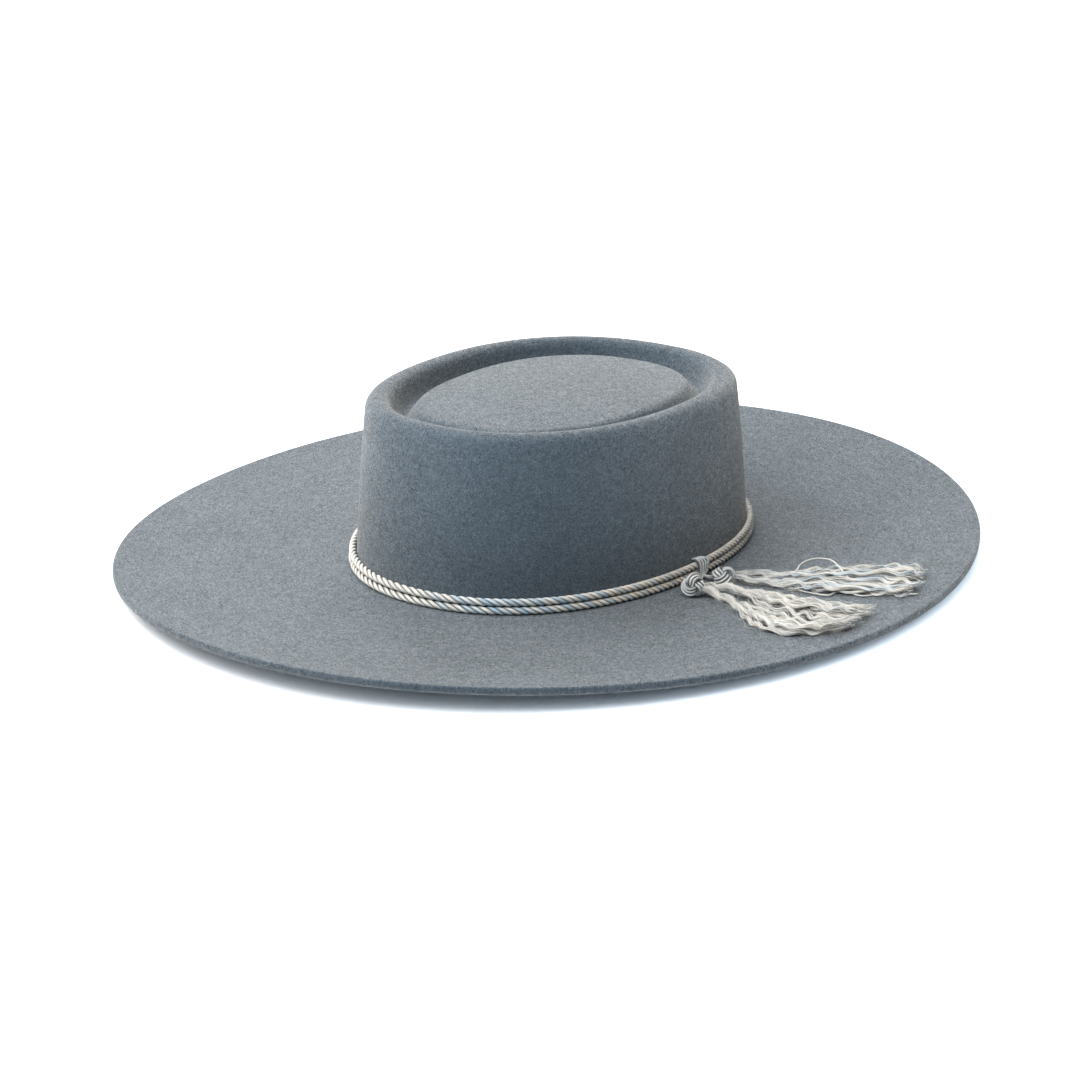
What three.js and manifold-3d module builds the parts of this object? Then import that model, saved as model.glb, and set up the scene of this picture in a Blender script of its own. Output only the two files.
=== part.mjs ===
// Huaso hat: a felt body with a telescope crown and a wide brim, and a twisted cord band with two tassels.
// Millimetres, +Z up. It stands on its brim. Its front is -Y and the wearer's left, with the knot, is +X.

import * as THREE from 'three'
import { LoftGeometry } from 'three/addons/geometries/LoftGeometry.js'
import { mergeVertices } from 'three/addons/utils/BufferGeometryUtils.js'
import Module from 'manifold-3d'

const wasm = await Module()
wasm.setup()

// Felt crown, measured outside
const feltThickness = 3
const tipWidth = 151.2
const tipLength = 197.2
const crownHeight = 77.4
const crownFlare = 7.7
const wallBulge = 0.7
const crownTilt = 2.9
const crownEgg = 0.027
const tipPower = 2.26
const basePower = 2.13

// Roll round the crown's top, and the channel and domed tip inside it
const rollWidth = 10.2
const rollRound = 6.1
const channelWidth = 13
const channelDepth = 15
const channelLean = 5.3
const channelRound = 3.2
const shoulderDrop = 4.4
const shoulderRound = 6
const tipDrop = 2.1

// Brim: its edge rises a little, unevenly, as felt does once it has been worn
const brimWidth = 112.7
const edgePower = 2.03
const restLand = 14
const edgeRise = 6.3
const edgeRiseLeft = 2.4
const edgeRiseFront = 0.9
const edgeRiseEnds = 3.3
const riseCurve = 1.4

// Cord band
const cordDiameter = 3.5
const turnGap = 0.2
const clearance = 0.3

// Knot over the band, and the stopper knots on its two legs
const knotAngle = THREE.MathUtils.degToRad(-2.4)
const knotSpan = 8
const wrapWidth = 6.4
const wrapThickness = 1.8
const wrapSlant = 3
const wrapGather = 0.65
const legDiameter = 2.8
const stopperWidth = 10.6
const stopperStrand = 2.3

// Tassels
const lockWidth = 4.2
const lockSpread = 20.5
const bundleSpread = 7
const frontWave = 1.3
const rearWave = 0.6
const waveLength = 22

// How finely round shapes are divided
const facetsRound = 52
const domeShares = [0, 0.35, 0.7]
const brimShares = [0.35, 0.68]
const upperArcSteps = 3
const lowerArcSteps = 2
const cordSides = 8
const climbSteps = 5
const wrapSides = 10
const wrapArc = [100, 75, 50, 25, 0]
const legSteps = 5
const knotSides = 6
const knotSteps = 40
const lockSides = 6
const lockSteps = 13
const headSides = 10
const headSteps = 6
const samePlace = 1e-4

// A surface with its seams and poles closed: points in one place are merged and flat triangles dropped
function closedSurface(geometry) {
  const bare = new THREE.BufferGeometry()
  bare.setAttribute('position', geometry.attributes.position)
  bare.setIndex(geometry.index)
  const merged = mergeVertices(bare, samePlace)
  const corners = Array.from(merged.index.array)
  const kept = []
  for (let i = 0; i < corners.length; i += 3) {
    const [a, b, c] = corners.slice(i, i + 3)
    if (a !== b && b !== c && c !== a) kept.push(a, b, c)
  }
  merged.setIndex(kept)
  merged.computeVertexNormals()
  return merged
}

// Felt outline and section

const brimTop = feltThickness
const crownTop = brimTop + crownHeight
const shoulderReach = -(rollWidth + channelWidth)
const middleReach = crownFlare / 2 + wallBulge
const edgeReach = crownFlare + brimWidth
const cordRadius = cordDiameter / 2

const share = (value, from, to) => THREE.MathUtils.clamp((value - from) / (to - from), 0, 1)

// The felt's outline is a superellipse, a little wider at the back. Reach is the distance outside the
// crown's top edge, and it is negative inside. Within the tip the outline shrinks to the middle.
function outlinePoint(reach, angle) {
  const base = share(reach, 0, crownFlare)
  const edge = share(reach, crownFlare, edgeReach)
  const power = tipPower + (basePower - tipPower) * base + (edgePower - basePower) * edge
  const shrink = share(reach, -tipWidth / 2, shoulderReach)
  const grow = Math.max(reach, shoulderReach)
  const across = Math.cos(angle)
  const along = Math.sin(angle)
  const round = (Math.abs(across) ** power + Math.abs(along) ** power) ** (-1 / power)
  const widen = 1 + crownEgg * (1 - edge) * along
  const x = (tipWidth / 2 + grow) * shrink * across * round * widen
  const y = (tipLength / 2 + grow) * shrink * along * round
  return new THREE.Vector2(x, y)
}

// A point of the felt's section, set in place: the crown leans up towards the front, and the brim rises
// from the flat land round the head opening to its edge.
function feltPoint(reach, height, angle) {
  const flat = outlinePoint(reach, angle)
  const tilt = -crownTilt * flat.y / (tipLength / 2) * share(height, brimTop, crownTop)
  const rise = edgeRise + edgeRiseLeft * Math.cos(angle) - edgeRiseFront * Math.sin(angle)
    - edgeRiseEnds * Math.cos(2 * angle)
  const lift = rise * share(reach, crownFlare + restLand, edgeReach) ** riseCurve
  return new THREE.Vector3(flat.x, flat.y, height + tilt + lift)
}

// The section's corners from the tip's middle to the brim's edge, with the radius that rounds each one
const section = [
  ...domeShares.map(part => ({
    reach: -tipWidth / 2 + (tipWidth / 2 + shoulderReach) * part,
    height: crownTop - tipDrop - (shoulderDrop - tipDrop) * part ** 2,
    round: 0,
  })),
  { reach: shoulderReach, height: crownTop - shoulderDrop, round: shoulderRound },
  { reach: -(rollWidth + channelLean), height: crownTop - channelDepth, round: channelRound },
  { reach: -rollWidth, height: crownTop, round: rollRound },
  { reach: 0, height: crownTop, round: rollRound },
  { reach: middleReach, height: brimTop + crownHeight / 2, round: 0 },
  { reach: crownFlare, height: brimTop, round: cordRadius + clearance },
  { reach: crownFlare + restLand, height: brimTop, round: 0 },
  ...brimShares.map(part => ({
    reach: crownFlare + restLand + (brimWidth - restLand) * part,
    height: brimTop,
    round: 0,
  })),
  { reach: edgeReach, height: brimTop, round: 0 },
]

const cornerPoint = row => new THREE.Vector2(row.reach, row.height)
const direction = (from, to) => cornerPoint(to).sub(cornerPoint(from)).normalize()
const leftOf = vector => new THREE.Vector2(-vector.y, vector.x)

// The same corners one felt thickness below: each lies on the mitre of its two stretches, a bulging
// corner gets a smaller radius and a hollow one a larger radius
function underside(rows) {
  return rows.map((row, i) => {
    const into = i > 0 ? direction(rows[i - 1], row) : new THREE.Vector2(1, 0)
    const out = i < rows.length - 1 ? direction(row, rows[i + 1]) : into.clone()
    const mitre = leftOf(into).add(leftOf(out)).divideScalar(1 + into.dot(out))
    const bulging = into.cross(out) < 0
    const round = row.round === 0 ? 0 : row.round + (bulging ? -feltThickness : feltThickness)
    const isFirst = i === 0
    return {
      reach: row.reach - (isFirst ? 0 : mitre.x * feltThickness),
      height: row.height - mitre.y * feltThickness,
      round,
    }
  })
}

// The corners with an arc in place of each rounded one
function roundedSection(rows, arcSteps) {
  return rows.flatMap((row, i) => {
    if (row.round === 0) return [cornerPoint(row)]
    const into = direction(rows[i - 1], row)
    const out = direction(row, rows[i + 1])
    const turn = Math.atan2(into.cross(out), into.dot(out))
    const setback = row.round * Math.tan(Math.abs(turn) / 2)
    const start = cornerPoint(row).addScaledVector(into, -setback)
    const centre = start.clone().addScaledVector(leftOf(into), row.round * Math.sign(turn))
    return Array.from({ length: arcSteps + 1 }, (_, k) =>
      start.clone().rotateAround(centre, turn * k / arcSteps))
  })
}

const feltRing = point => Array.from({ length: facetsRound }, (_, k) =>
  feltPoint(point.x, point.y, 2 * Math.PI * k / facetsRound))

// Crown and brim are one felt: its lower skin runs out to the brim's edge and its upper skin comes back
function feltBody() {
  const upper = roundedSection(section, upperArcSteps)
  const lower = roundedSection(underside(section), lowerArcSteps)
  const rings = [...lower, ...upper.reverse()].map(feltRing)
  return closedSurface(new LoftGeometry(rings))
}

// Cord band

const firstTurnHeight = brimTop + clearance + cordRadius
const turnPitch = cordDiameter + turnGap

// How far out the crown's wall stands at a height near its foot
const wallReach = height =>
  crownFlare + (middleReach - crownFlare) * (height - brimTop) / (crownHeight / 2)

// A point at the cord's middle, beside the wall, at the height of the first turn plus a part of the pitch
function cordPoint(angle, turn) {
  const height = firstTurnHeight + turnPitch * turn
  return feltPoint(wallReach(height) + clearance + cordRadius, height, angle)
}

const crownRadius = outlinePoint(crownFlare, knotAngle).length()
const knotSpanAngle = knotSpan / crownRadius

// The cord goes round once on the brim, climbs under the knot and goes round again on the first turn.
// Its facets follow the felt's, and are shorter where it climbs.
function woundAngles() {
  const facet = 2 * Math.PI / facetsRound
  const start = knotSpanAngle / 2
  const turn = Array.from({ length: facetsRound }, (_, k) => start + facet * k)
    .filter(angle => angle < 2 * Math.PI - start)
  const climb = Array.from({ length: climbSteps + 1 }, (_, k) =>
    2 * Math.PI - start + knotSpanAngle * k / climbSteps)
  const secondTurn = turn.slice(1).map(angle => angle + 2 * Math.PI)
  return [...turn, ...climb, ...secondTurn, 4 * Math.PI - start]
}

function bandPoint(wound) {
  const climb = share(wound, 2 * Math.PI - knotSpanAngle / 2, 2 * Math.PI + knotSpanAngle / 2)
  return cordPoint(knotAngle + wound, climb * climb * (3 - 2 * climb))
}

// A closed strand through points. Each ring of it is an oval, square to the strand: its width lies along
// the given direction, and may narrow to a share of it at the end.
function strand(points, across, width, height, sides, endShare = 1) {
  const rings = points.map((point, i) => {
    const before = points[Math.max(i - 1, 0)]
    const after = points[Math.min(i + 1, points.length - 1)]
    const heading = after.clone().sub(before).normalize()
    const proud = new THREE.Vector3().crossVectors(heading, across).normalize()
    const level = new THREE.Vector3().crossVectors(proud, heading)
    const narrow = THREE.MathUtils.lerp(1, endShare, i / (points.length - 1))
    return Array.from({ length: sides }, (_, k) => {
      const turn = 2 * Math.PI * (k + 0.5) / sides
      return point.clone()
        .addScaledVector(level, width / 2 * narrow * Math.cos(turn))
        .addScaledVector(proud, height / 2 * Math.sin(turn))
    })
  })
  return new LoftGeometry(rings, { capStart: true, capEnd: true })
}

const upwards = new THREE.Vector3(0, 0, 1)

function hatCord() {
  return closedSurface(strand(woundAngles().map(bandPoint), upwards, cordDiameter, cordDiameter, cordSides))
}

function tube(route, radius, sides, steps) {
  const ring = new THREE.Shape().absarc(0, 0, radius, 0, 2 * Math.PI)
  const options = { extrudePath: route, steps, curveSegments: sides / 2, bevelEnabled: false }
  return new THREE.ExtrudeGeometry(ring, options)
}

// Joining and cutting

function solid(geometry) {
  const merged = closedSurface(geometry)
  const mesh = new wasm.Mesh({
    numProp: 3,
    vertProperties: new Float32Array(merged.attributes.position.array),
    triVerts: new Uint32Array(merged.index.array),
  })
  return new wasm.Manifold(mesh)
}

function geometryOf(manifold) {
  const mesh = manifold.getMesh()
  const geometry = new THREE.BufferGeometry()
  geometry.setAttribute('position', new THREE.BufferAttribute(mesh.vertProperties, 3))
  geometry.setIndex(new THREE.BufferAttribute(mesh.triVerts, 1))
  geometry.computeVertexNormals()
  return geometry
}

const joined = pieces => pieces.map(solid).reduce((whole, piece) => whole.add(piece))

// Knots

// A point over the brim: out is a share of the brim's width, rise a height over its top face
const brimPoint = (angle, out, rise) => feltPoint(crownFlare + out * brimWidth, brimTop + rise, angle)

// The front stopper knot stands on its rim and the rear one leans back. Angle is in degrees, out a share of
// the brim's width, and rise the share of its own width at which its middle lies over the brim.
const stoppers = {
  front: { angle: -15.3, out: 0.155, rise: 0.5, facing: new THREE.Vector3(0.55, -0.8, 0.25) },
  rear: { angle: -5.3, out: 0.158, rise: 0.36, facing: new THREE.Vector3(0.2, -0.35, 0.92) },
}

// A stopper knot is an overhand knot drawn tight, which has a trefoil's shape
function stopperMesh(place, thickness) {
  const radius = (stopperWidth - stopperStrand) / 3
  const geometry = new THREE.TorusKnotGeometry(radius, thickness / 2, knotSteps, knotSides, 2, 3)
  const mesh = new THREE.Mesh(geometry)
  const angle = THREE.MathUtils.degToRad(place.angle)
  mesh.position.copy(brimPoint(angle, place.out, place.rise * stopperWidth + clearance))
  mesh.lookAt(mesh.position.clone().add(place.facing))
  mesh.updateMatrixWorld()
  return mesh
}

// The knot with a clearance round it, to cut what meets it
function stopperRoom(place) {
  const mesh = stopperMesh(place, stopperStrand + 2 * clearance)
  return solid(mesh.geometry.clone().applyMatrix4(mesh.matrixWorld))
}

// The wrap's middle line goes over the upper turn, down the outside of both and onto the brim
function wrapPoints() {
  const bow = cordRadius + clearance + wrapThickness / 2
  const upper = firstTurnHeight + turnPitch
  const reachOf = height => wallReach(height) + clearance + cordRadius
  const over = wrapArc.map(THREE.MathUtils.degToRad).map(a =>
    new THREE.Vector2(reachOf(upper) + bow * Math.cos(a), upper + bow * Math.sin(a)))
  const down = new THREE.Vector2(reachOf(firstTurnHeight) + bow, firstTurnHeight)
  const foot = new THREE.Vector2(down.x + wrapThickness / 2, brimTop + clearance + legDiameter / 2)
  const line = [...over, down, foot]
  return line.map((point, i) => {
    const slant = wrapSlant * (i / (line.length - 1) - 0.5)
    return feltPoint(point.x, point.y, knotAngle - slant / crownRadius)
  })
}

// The wrap is a flat strand, wide along the band at its top and narrower where it gathers below
function wrap() {
  const alongBand = new THREE.Vector3(-Math.sin(knotAngle), Math.cos(knotAngle), 0)
  return strand(wrapPoints(), alongBand, wrapWidth, wrapThickness, wrapSides, wrapGather)
}

// A leg runs from the wrap's foot over the brim to its stopper knot
function leg(place) {
  const foot = wrapPoints().at(-1)
  const end = stopperMesh(place, stopperStrand).position
  const reached = foot.clone().lerp(end, 1 - stopperWidth / 2 / foot.distanceTo(end))
  const middle = foot.clone().lerp(reached, 0.5)
  middle.z = foot.z
  return tube(new THREE.CatmullRomCurve3([foot, middle, reached]), legDiameter / 2, cordSides, legSteps)
}

function bandKnot() {
  const whole = joined([wrap(), leg(stoppers.front), leg(stoppers.rear)])
  return geometryOf(whole.subtract(stopperRoom(stoppers.front)).subtract(stopperRoom(stoppers.rear)))
}

// Tassels

// The middle line of each tassel over the brim: angle in degrees, out as a share of the brim's width
const tassels = {
  front: {
    stopper: stoppers.front,
    wave: frontWave,
    route: [
      { angle: -14.2, out: 0.216 },
      { angle: -13.2, out: 0.36 },
      { angle: -13.6, out: 0.53 },
      { angle: -11.4, out: 0.69 },
      { angle: -8.9, out: 0.84 },
      { angle: -6.8, out: 0.905 },
    ],
  },
  rear: {
    stopper: stoppers.rear,
    wave: rearWave,
    route: [
      { angle: -3.6, out: 0.216 },
      { angle: -0.8, out: 0.3 },
      { angle: 1.3, out: 0.43 },
      { angle: 4.6, out: 0.61 },
      { angle: 6.6, out: 0.79 },
      { angle: 7.6, out: 0.885 },
    ],
  },
}

// The locks leave the head in two bundles and open out into one spread further on. Side is a share of
// half the spread, layer a share of a lock's radius and shift a share of a wave.
const locks = [
  { bundle: -1, side: -1, layer: 0, shift: 0, length: 0.94 },
  { bundle: -1, side: -0.5, layer: 0.1, shift: 0.35, length: 1 },
  { bundle: 1, side: 0, layer: 0.15, shift: 0.6, length: 0.97 },
  { bundle: 1, side: 0.5, layer: 0.1, shift: 0.15, length: 1 },
  { bundle: 1, side: 1, layer: 0, shift: 0.45, length: 0.93 },
]

// Shares of a lock's length: by the first it has left the head, and between the others it opens out
const leftHead = 0.3
const opensFrom = 0.2
const opensTo = 0.7

class LockRoute extends THREE.Curve {
  constructor(kind, lock) {
    super()
    this.line = new THREE.SplineCurve(kind.route.map(row => new THREE.Vector2(row.angle, row.out)))
    this.lock = lock
    this.wave = kind.wave
    this.waves = (kind.route.at(-1).out - kind.route[0].out) * brimWidth / waveLength
  }
  getPoint(t, target = new THREE.Vector3()) {
    const along = t * this.lock.length
    const place = this.line.getPoint(along)
    const angle = THREE.MathUtils.degToRad(place.x)
    const leaving = Math.sin(Math.PI / 2 * share(along, 0, leftHead))
    const opened = share(along, opensFrom, opensTo)
    const { bundle, side, layer, shift } = this.lock
    const swing = this.wave * Math.sin(2 * Math.PI * (along * this.waves + shift))
    const apart = THREE.MathUtils.lerp(bundleSpread * bundle, lockSpread * side, opened) / 2
    const radius = outlinePoint(crownFlare + place.y * brimWidth, angle).length()
    const rise = clearance + lockWidth / 2 * (1 + layer)
    return target.copy(brimPoint(angle + leaving * (apart + swing) / radius, place.y, rise))
  }
}

// A tassel's locks come out of one head, which sits behind its stopper knot
function tassel(kind) {
  const strands = locks.map(lock => tube(new LockRoute(kind, lock), lockWidth / 2, lockSides, lockSteps))
  const start = kind.route[0]
  const head = new THREE.SphereGeometry(lockWidth / 2, headSides, headSteps)
  head.translate(...brimPoint(THREE.MathUtils.degToRad(start.angle), start.out, clearance + lockWidth / 2))
  return geometryOf(joined([head, ...strands]).subtract(stopperRoom(kind.stopper)))
}

// Materials and the assembly

const felt = new THREE.MeshStandardMaterial({ color: 0x5e6873, roughness: 0.95, metalness: 0 })
const cord = new THREE.MeshStandardMaterial({ color: 0xc9c6bd, roughness: 0.5, metalness: 0 })
const knotCord = new THREE.MeshStandardMaterial({ color: 0xb9c6cf, roughness: 0.45, metalness: 0 })
const yarn = new THREE.MeshStandardMaterial({ color: 0xd8d8d2, roughness: 0.6, metalness: 0 })

function named(name, geometry, material) {
  const mesh = new THREE.Mesh(geometry, material)
  mesh.name = name
  return mesh
}

function stopper(name, place) {
  const mesh = stopperMesh(place, stopperStrand)
  mesh.name = name
  mesh.material = knotCord
  return mesh
}

const band = new THREE.Group()
band.add(named('hat_cord', hatCord(), cord))
band.add(named('band_knot', bandKnot(), knotCord))
band.add(stopper('front_stopper_knot', stoppers.front))
band.add(stopper('rear_stopper_knot', stoppers.rear))
band.add(named('front_tassel', tassel(tassels.front), yarn))
band.add(named('rear_tassel', tassel(tassels.rear), yarn))

const hat = new THREE.Group()
hat.add(named('felt_body', feltBody(), felt))
hat.add(band)

export default hat
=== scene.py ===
# %% [markdown]
# # A huaso hat of fur felt, with a twisted cord band and two tassels
# The hat is one blocked felt: a crown with a sunk ring round its top, and a wide, nearly flat brim.
# A three-strand rayon cord lies round the crown twice, is bound at the wearer's left, and ends in two
# overhand knots whose yarns are combed out into tassels. The frame holds each of these as a plain solid.
# Each solid is replaced here by a finer surface of the same form, worked out on a grid with numpy.
# Shapes are worked out in millimetres, +Z up, the front at -Y, and turned to metres as a mesh is made.

import math

import bpy
import numpy as np
from mathutils import Matrix, Vector


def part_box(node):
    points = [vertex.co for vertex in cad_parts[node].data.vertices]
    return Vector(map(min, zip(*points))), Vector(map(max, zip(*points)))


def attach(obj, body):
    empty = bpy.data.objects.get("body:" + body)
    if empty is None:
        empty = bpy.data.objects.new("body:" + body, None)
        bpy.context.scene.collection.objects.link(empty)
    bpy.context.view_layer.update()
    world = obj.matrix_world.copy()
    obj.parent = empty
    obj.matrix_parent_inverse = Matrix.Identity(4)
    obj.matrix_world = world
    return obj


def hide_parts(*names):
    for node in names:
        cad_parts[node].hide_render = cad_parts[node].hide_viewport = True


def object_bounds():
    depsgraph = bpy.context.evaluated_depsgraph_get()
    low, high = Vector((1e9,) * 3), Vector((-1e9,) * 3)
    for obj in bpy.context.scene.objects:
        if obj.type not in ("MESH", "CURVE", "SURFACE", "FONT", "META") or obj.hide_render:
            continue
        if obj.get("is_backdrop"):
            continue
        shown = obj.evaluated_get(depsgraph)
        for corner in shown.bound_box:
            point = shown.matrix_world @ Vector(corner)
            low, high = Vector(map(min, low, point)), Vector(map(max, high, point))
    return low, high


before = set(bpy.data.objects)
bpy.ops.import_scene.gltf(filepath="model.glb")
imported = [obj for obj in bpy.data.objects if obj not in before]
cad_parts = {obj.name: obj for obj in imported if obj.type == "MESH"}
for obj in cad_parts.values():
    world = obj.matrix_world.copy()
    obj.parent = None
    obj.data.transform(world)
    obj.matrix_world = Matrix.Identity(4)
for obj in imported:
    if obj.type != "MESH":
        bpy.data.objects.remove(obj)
cad_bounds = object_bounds()
MM = 0.001
print("solids in the frame:", sorted(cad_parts))

# %% [markdown]
# ## Small helpers for shapes
# Every piece below is a set of rings carried along a path, so a few functions serve them all: a share
# between two limits, a smooth curve through a few chosen places, and directions along that curve.

# %% Curves and directions
def share(value, start, stop):
    """How far a value lies between two limits, from 0 to 1."""
    return np.clip((value - start) / (stop - start), 0.0, 1.0)


def eased(part):
    """A share that starts and stops gently: 3 times its square less 2 times its cube."""
    return part * part * (3.0 - 2.0 * part)


def unit(vectors):
    """The same directions at length 1."""
    return vectors / np.linalg.norm(vectors, axis=-1, keepdims=True)


def curve_at(places, part):
    """Places at shares of a Catmull-Rom curve: a cubic between each two places, whose slope at a place
    is half the step between its two neighbours."""
    places = np.asarray(places, float)
    ends = np.vstack([2 * places[0] - places[1], places, 2 * places[-1] - places[-2]])
    spans = len(places) - 1
    position = np.clip(part, 0.0, 1.0) * spans
    span = np.minimum(position.astype(int), spans - 1)
    t = (position - span)[..., None]
    a, b, c, d = (ends[span + k] for k in range(4))
    return 0.5 * (2 * b + (c - a) * t + (2 * a - 5 * b + 4 * c - d) * t**2 + (3 * b - a - 3 * c + d) * t**3)


def lengths_along(path):
    """The length walked from the start of a path to each of its points."""
    steps = np.linalg.norm(np.diff(path, axis=-2), axis=-1)
    start = np.zeros(steps.shape[:-1] + (1,))
    return np.concatenate([start, np.cumsum(steps, axis=-1)], axis=-1)


def frame_along(path, reference, closed=False):
    """Directions beside and on top of a path: beside is square to the path's heading and to a reference
    direction, and on top is square to both the heading and beside."""
    if closed:
        heading = np.roll(path, -1, axis=-2) - np.roll(path, 1, axis=-2)
    else:
        heading = np.gradient(path, axis=-2)
    heading = unit(heading)
    beside = unit(np.cross(heading, reference))
    return beside, np.cross(beside, heading)


UP = np.array([0.0, 0.0, 1.0])
print("a curve over three places has its middle at", curve_at([(0, 0), (1, 1), (2, 0)], np.array([0.5]))[0])

# %% [markdown]
# ## Rings round a path
# Strands, yarn bundles and single yarns are ovals carried along a line. Blender could bevel a curve, but
# rings worked out here can be wider than high, can thin towards an end, and carry a dye for each point.

# %% Rings round a path
def tube(path, width, height, sides, reference=UP, closed=False):
    """Rings of an oval round a path: the path plus half the width times the cosine of a turn beside it,
    plus half the height times the sine of that turn on top of it."""
    beside, top = frame_along(path, reference, closed)
    turn = 2 * np.pi * np.arange(sides) / sides
    wide = np.asarray(width, float)[..., None, None] / 2 * np.cos(turn)[:, None]
    high = np.asarray(height, float)[..., None, None] / 2 * np.sin(turn)[:, None]
    return path[..., None, :] + wide * beside[..., None, :] + high * top[..., None, :]


# %% [markdown]
# ## Faces and map of a skin
# A skin is rows of rings. Joining each ring to the next gives quads, and a fan closes each end, so every
# skin is watertight. The UV map holds real lengths in metres, along the skin and round it, and a yarn's
# grooves follow that map. The volume that the faces enclose shows whether they point outwards.

# %% Faces, map and volume
def ring_faces(skins, rows, sides, closed):
    """Quads between neighbouring rings, and triangles from each end ring to its own middle point."""
    index = np.arange(skins * rows * sides).reshape(skins, rows, sides)
    index = np.concatenate([index, index[:, :, :1]], axis=2)
    if closed:
        index = np.concatenate([index, index[:, :1]], axis=1)
    quads = np.stack([index[:, :-1, :-1], index[:, 1:, :-1], index[:, 1:, 1:], index[:, :-1, 1:]], axis=-1)
    if closed:
        return quads.reshape(-1, 4), np.zeros((0, 3), int)
    middle = (skins * rows * sides + np.arange(2 * skins)).reshape(skins, 2, 1)
    middle = np.broadcast_to(middle, (skins, 2, sides))
    start = np.stack([index[:, 0, :-1], index[:, 0, 1:], middle[:, 0]], axis=-1)
    end = np.stack([index[:, -1, 1:], index[:, -1, :-1], middle[:, 1]], axis=-1)
    return quads.reshape(-1, 4), np.concatenate([start, end]).reshape(-1, 3)


def ring_map(along, around, closed):
    """The UV of each face corner, in metres: the length along the skin and the length round its ring."""
    if closed:
        step = along[:, -1:] - along[:, -2:-1]
        along = np.concatenate([along, along[:, -1:] + step], axis=1)
    skins, rows = along.shape
    sides = len(around) - 1
    u = np.broadcast_to(along[:, :, None], (skins, rows, sides + 1))
    v = np.broadcast_to(around, (skins, rows, sides + 1))
    corner = np.stack([u, v], axis=-1)
    four = [corner[:, :-1, :-1], corner[:, 1:, :-1], corner[:, 1:, 1:], corner[:, :-1, 1:]]
    quads = np.stack(four, axis=3).reshape(-1, 2)
    if closed:
        return quads * MM
    centre = (corner[:, :, :-1] + corner[:, :, 1:]) / 2
    start = np.stack([corner[:, 0, :-1], corner[:, 0, 1:], centre[:, 0]], axis=2)
    end = np.stack([corner[:, -1, 1:], corner[:, -1, :-1], centre[:, -1]], axis=2)
    return np.concatenate([quads, start.reshape(-1, 2), end.reshape(-1, 2)]) * MM


def signed_volume(points, triangles):
    """A sixth of the sum over triangles of a corner dotted with the cross of the other two."""
    a, b, c = (points[triangles[:, k]] for k in range(3))
    return np.einsum("ij,ij->i", a, np.cross(b, c)).sum() / 6


# %% [markdown]
# ## One mesh from its skins
# A tassel has hundreds of yarns of three thicknesses, and it is still one piece. Whole index arrays go
# into its mesh with foreach_set, which is far quicker than adding faces one by one. Further values, such
# as a yarn's dye, are kept as named point attributes that a material can read.

# %% One mesh from its skins
def join_skins(parts, closed):
    """Points, quads, fans, UVs and attributes of several sets of skins. Each part is its rings (skins x
    rows x sides x 3, in mm), the lengths along them (skins x rows), and attributes, each with a value
    for every row of every skin or for every point of every ring."""
    points, quads, fans, quad_maps, fan_maps, marks = [], [], [], [], [], {}
    count = 0
    for rings, along, values in parts:
        skins, rows, sides, _ = rings.shape
        middles = rings[:, [0, -1]].mean(axis=2).reshape(-1, 3)
        points.append(rings.reshape(-1, 3) if closed else np.vstack([rings.reshape(-1, 3), middles]))
        part_quads, part_fans = ring_faces(skins, rows, sides, closed)
        quads.append(part_quads + count)
        fans.append(part_fans + count)
        girth = np.linalg.norm(np.diff(rings[0, rows // 2], axis=0), axis=-1).sum() * sides / (sides - 1)
        part_map = ring_map(along, np.linspace(0.0, girth, sides + 1), closed)
        quad_maps.append(part_map[:4 * len(part_quads)])
        fan_maps.append(part_map[4 * len(part_quads):])
        for mark, value in values.items():
            every = np.broadcast_to(value if value.ndim == 3 else value[..., None], (skins, rows, sides))
            ends = np.zeros(0) if closed else every[:, [0, -1]].mean(axis=2).reshape(-1)
            marks.setdefault(mark, []).append(np.concatenate([every.reshape(-1), ends]))
        count += len(points[-1])
    return (np.concatenate(points) * MM, np.concatenate(quads), np.concatenate(fans),
            np.concatenate(quad_maps + fan_maps), marks)


def make_piece(name, parts, material, closed=False):
    """An object at the origin whose mesh is all the skins, smooth, with their map and attributes."""
    points, quads, fans, uv, marks = join_skins(parts, closed)
    corners = np.concatenate([quads.ravel(), fans.ravel()])
    starts = np.concatenate([4 * np.arange(len(quads)), 4 * len(quads) + 3 * np.arange(len(fans))])
    mesh = bpy.data.meshes.new(name)
    mesh.vertices.add(len(points))
    mesh.vertices.foreach_set("co", points.ravel())
    mesh.loops.add(len(corners))
    mesh.loops.foreach_set("vertex_index", corners)
    mesh.polygons.add(len(starts))
    mesh.polygons.foreach_set("loop_start", starts)
    mesh.polygons.foreach_set("use_smooth", np.ones(len(starts), bool))
    mesh.update(calc_edges=True)
    mesh.uv_layers.new(name="lengths").data.foreach_set("uv", uv.ravel())
    for mark, values in marks.items():
        mesh.attributes.new(mark, "FLOAT", "POINT").data.foreach_set("value", np.concatenate(values))
    mesh.materials.append(material)
    piece = bpy.data.objects.new(name, mesh)
    bpy.context.scene.collection.objects.link(piece)
    halves = np.concatenate([quads[:, [0, 1, 2]], quads[:, [0, 2, 3]], fans])
    print(f"{name}: {len(halves)} triangles, {signed_volume(points, halves) * 1e6:.2f} cm3 of solid")
    return piece


# %% [markdown]
# ## The felt's sizes
# These are the frame's own sizes. A hatter would call them the block's: an oval tip, a flare to the band,
# a roll round the top with a channel inside it, and a brim cut to an even width.

# %% Felt sizes, in millimetres
FELT = 3.0
# the oval of the crown's top edge, and the wall's height, flare and bulge
TIP_WIDTH, TIP_LENGTH = 151.2, 197.2
CROWN_HEIGHT, CROWN_FLARE, WALL_BULGE = 77.4, 7.7, 0.7
# the crown stands this much higher in front, and is broader behind by this share
CROWN_TILT, CROWN_EGG = 2.9, 0.027
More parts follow.
